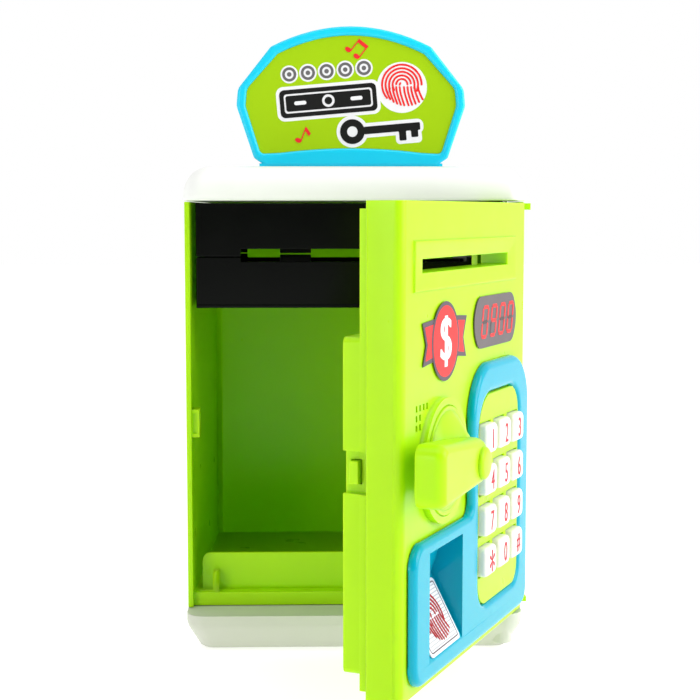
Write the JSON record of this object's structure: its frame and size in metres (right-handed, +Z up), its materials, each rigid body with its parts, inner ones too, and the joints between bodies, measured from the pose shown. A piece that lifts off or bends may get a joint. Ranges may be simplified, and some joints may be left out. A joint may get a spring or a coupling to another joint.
{
  "type": "toy cash machine savings bank",
  "caption": "Toy cash-machine savings bank: a box with a hinged keypad door, a turning latch handle, a note slot and feeder, a fingerprint recess and a sign on its roof.",
  "frame": {"origin": "centre of the base's underside, on the table", "axes": "+Z up, +X to the right of somebody facing the door side, +Y from the door side to the back; the door is at rest 65 degrees open"},
  "size_m": [0.1276, 0.234, 0.2351],
  "materials": {
    "lime_plastic": "glossy lime green moulded plastic",
    "cyan_plastic": "glossy sky blue moulded plastic",
    "white_plastic": "white moulded plastic",
    "black_plastic": "glossy black moulded plastic",
    "key_plastic": "white key caps with red printed digits",
    "sign_print": null,
    "label_print": "white sticker with a red fingerprint",
    "display_print": "dark grey sticker with red segment digits",
    "emblem_print": "red sticker of a coin disc on a ribbon",
    "rubber": "dark rubber",
    "steel": "plain steel",
    "nickel_contact": "nickel-plated spring steel",
    "cell_jacket": "plain dark cell jacket",
    "circuit_board": "green board",
    "coil_tape": "copper winding under amber tape",
    "motor_case": "small metal motor can",
    "gear_plastic": "off-white gear plastic"
  },
  "bodies": {
    "bank": {"case_shell": "lime_plastic", "roof_cover": "white_plastic", "base_tray": "white_plastic", "battery_cover": "white_plastic", "battery_cell_1": "cell_jacket", "battery_cell_2": "cell_jacket", "battery_cell_3": "cell_jacket", "battery_contacts_left": "nickel_contact", "battery_contacts_right": "nickel_contact", "battery_cover_screw": "steel", "base_screw_1": "steel", "base_screw_2": "steel", "base_screw_3": "steel", "base_screw_4": "steel", "sign_frame": "cyan_plastic", "sign_panel": "sign_print", "feeder_upper_housing": "black_plastic", "feeder_lower_housing": "black_plastic", "feeder_motor": "motor_case", "hinge_pin_top": "steel", "hinge_pin_bottom": "steel"},
    "door": {"door_shell": "lime_plastic", "door_inner_cover": "lime_plastic", "door_screw_1": "steel", "door_screw_2": "steel", "door_screw_3": "steel", "door_screw_4": "steel", "keypad_bezel": "cyan_plastic", "fingerprint_label": "label_print", "display_label": "display_print", "emblem_label": "emblem_print", "keypad_membrane": "rubber", "circuit_board": "circuit_board", "speaker": "black_plastic", "solenoid_coil": "coil_tape"},
    "handle": {"handle_lever": "lime_plastic", "latch_crank": "gear_plastic"},
    "bolt": {"latch_bolt": "lime_plastic"},
    "plunger": {"solenoid_plunger": "steel"},
    "drive_rollers": {"drive_shaft": "steel", "drive_gear": "gear_plastic", "drive_roller_left": "rubber", "drive_roller_right": "rubber"},
    "pinch_rollers": {"pinch_shaft": "steel", "pinch_roller_left": "rubber", "pinch_roller_right": "rubber"},
    "reduction": {"reduction_gear": "gear_plastic"},
    "pinion": {"motor_pinion": "gear_plastic"},
    "key_1": {"key_1": "key_plastic"},
    "key_2": {"key_2": "key_plastic"},
    "key_3": {"key_3": "key_plastic"},
    "key_4": {"key_4": "key_plastic"},
    "key_5": {"key_5": "key_plastic"},
    "key_6": {"key_6": "key_plastic"},
    "key_7": {"key_7": "key_plastic"},
    "key_8": {"key_8": "key_plastic"},
    "key_9": {"key_9": "key_plastic"},
    "key_star": {"key_star": "key_plastic"},
    "key_0": {"key_0": "key_plastic"},
    "key_hash": {"key_hash": "key_plastic"}
  },
  "joints": [
    {"name": "door_hinge", "type": "hinge", "parent": "bank", "child": "door", "pos_m": [0.0548, -0.05555, 0.0897], "axis": [0, 0, 1], "range_deg": [-65, 38]},
    {"name": "handle_turn", "type": "hinge", "parent": "door", "child": "handle", "pos_m": [0.02486, -0.13383, 0.0838], "axis": [0.9063, -0.4226, 0], "range_deg": [0, 60], "stiffness_Nm_per_rad": 0.03, "springref_deg": -28.65},
    {"name": "bolt_slide", "type": "slide", "parent": "door", "child": "bolt", "axis": [0.4226, 0.9063, 0], "range_m": [0, 0.004]},
    {"name": "plunger_slide", "type": "slide", "parent": "door", "child": "plunger", "axis": [0, 0, -1], "range_m": [0, 0.003], "stiffness_N_per_m": 40, "springref_m": -0.001},
    {"name": "drive_spin", "type": "hinge", "parent": "bank", "child": "drive_rollers", "pos_m": [0, -0.024, 0.1386], "axis": [1, 0, 0], "continuous": true},
    {"name": "pinch_spin", "type": "hinge", "parent": "bank", "child": "pinch_rollers", "pos_m": [0, -0.024, 0.1511], "axis": [1, 0, 0], "continuous": true},
    {"name": "reduction_spin", "type": "hinge", "parent": "bank", "child": "reduction", "pos_m": [0.048, -0.011, 0.14479], "axis": [1, 0, 0], "continuous": true},
    {"name": "pinion_spin", "type": "hinge", "parent": "bank", "child": "pinion", "pos_m": [0.0466, -0.00063, 0.13599], "axis": [1, 0, 0], "continuous": true},
    {"name": "key_1_press", "type": "slide", "parent": "door", "child": "key_1", "axis": [-0.9063, 0.4226, 0], "range_m": [0, 0.0012], "stiffness_N_per_m": 300, "springref_m": -0.001},
    {"name": "key_2_press", "type": "slide", "parent": "door", "child": "key_2", "axis": [-0.9063, 0.4226, 0], "range_m": [0, 0.0012], "stiffness_N_per_m": 300, "springref_m": -0.001},
    {"name": "key_3_press", "type": "slide", "parent": "door", "child": "key_3", "axis": [-0.9063, 0.4226, 0], "range_m": [0, 0.0012], "stiffness_N_per_m": 300, "springref_m": -0.001},
    {"name": "key_4_press", "type": "slide", "parent": "door", "child": "key_4", "axis": [-0.9063, 0.4226, 0], "range_m": [0, 0.0012], "stiffness_N_per_m": 300, "springref_m": -0.001},
    {"name": "key_5_press", "type": "slide", "parent": "door", "child": "key_5", "axis": [-0.9063, 0.4226, 0], "range_m": [0, 0.0012], "stiffness_N_per_m": 300, "springref_m": -0.001},
    {"name": "key_6_press", "type": "slide", "parent": "door", "child": "key_6", "axis": [-0.9063, 0.4226, 0], "range_m": [0, 0.0012], "stiffness_N_per_m": 300, "springref_m": -0.001},
    {"name": "key_7_press", "type": "slide", "parent": "door", "child": "key_7", "axis": [-0.9063, 0.4226, 0], "range_m": [0, 0.0012], "stiffness_N_per_m": 300, "springref_m": -0.001},
    {"name": "key_8_press", "type": "slide", "parent": "door", "child": "key_8", "axis": [-0.9063, 0.4226, 0], "range_m": [0, 0.0012], "stiffness_N_per_m": 300, "springref_m": -0.001},
    {"name": "key_9_press", "type": "slide", "parent": "door", "child": "key_9", "axis": [-0.9063, 0.4226, 0], "range_m": [0, 0.0012], "stiffness_N_per_m": 300, "springref_m": -0.001},
    {"name": "key_star_press", "type": "slide", "parent": "door", "child": "key_star", "axis": [-0.9063, 0.4226, 0], "range_m": [0, 0.0012], "stiffness_N_per_m": 300, "springref_m": -0.001},
    {"name": "key_0_press", "type": "slide", "parent": "door", "child": "key_0", "axis": [-0.9063, 0.4226, 0], "range_m": [0, 0.0012], "stiffness_N_per_m": 300, "springref_m": -0.001},
    {"name": "key_hash_press", "type": "slide", "parent": "door", "child": "key_hash", "axis": [-0.9063, 0.4226, 0], "range_m": [0, 0.0012], "stiffness_N_per_m": 300, "springref_m": -0.001}
  ],
  "couplings": [
    {"joint": "bolt_slide", "follows": "handle_turn", "m_per_rad": 0.0038197},
    {"joint": "reduction_spin", "follows": "drive_spin", "ratio": -2},
    {"joint": "pinion_spin", "follows": "drive_spin", "ratio": 4.8},
    {"joint": "pinch_spin", "follows": "drive_spin", "ratio": -1.4}
  ]
}
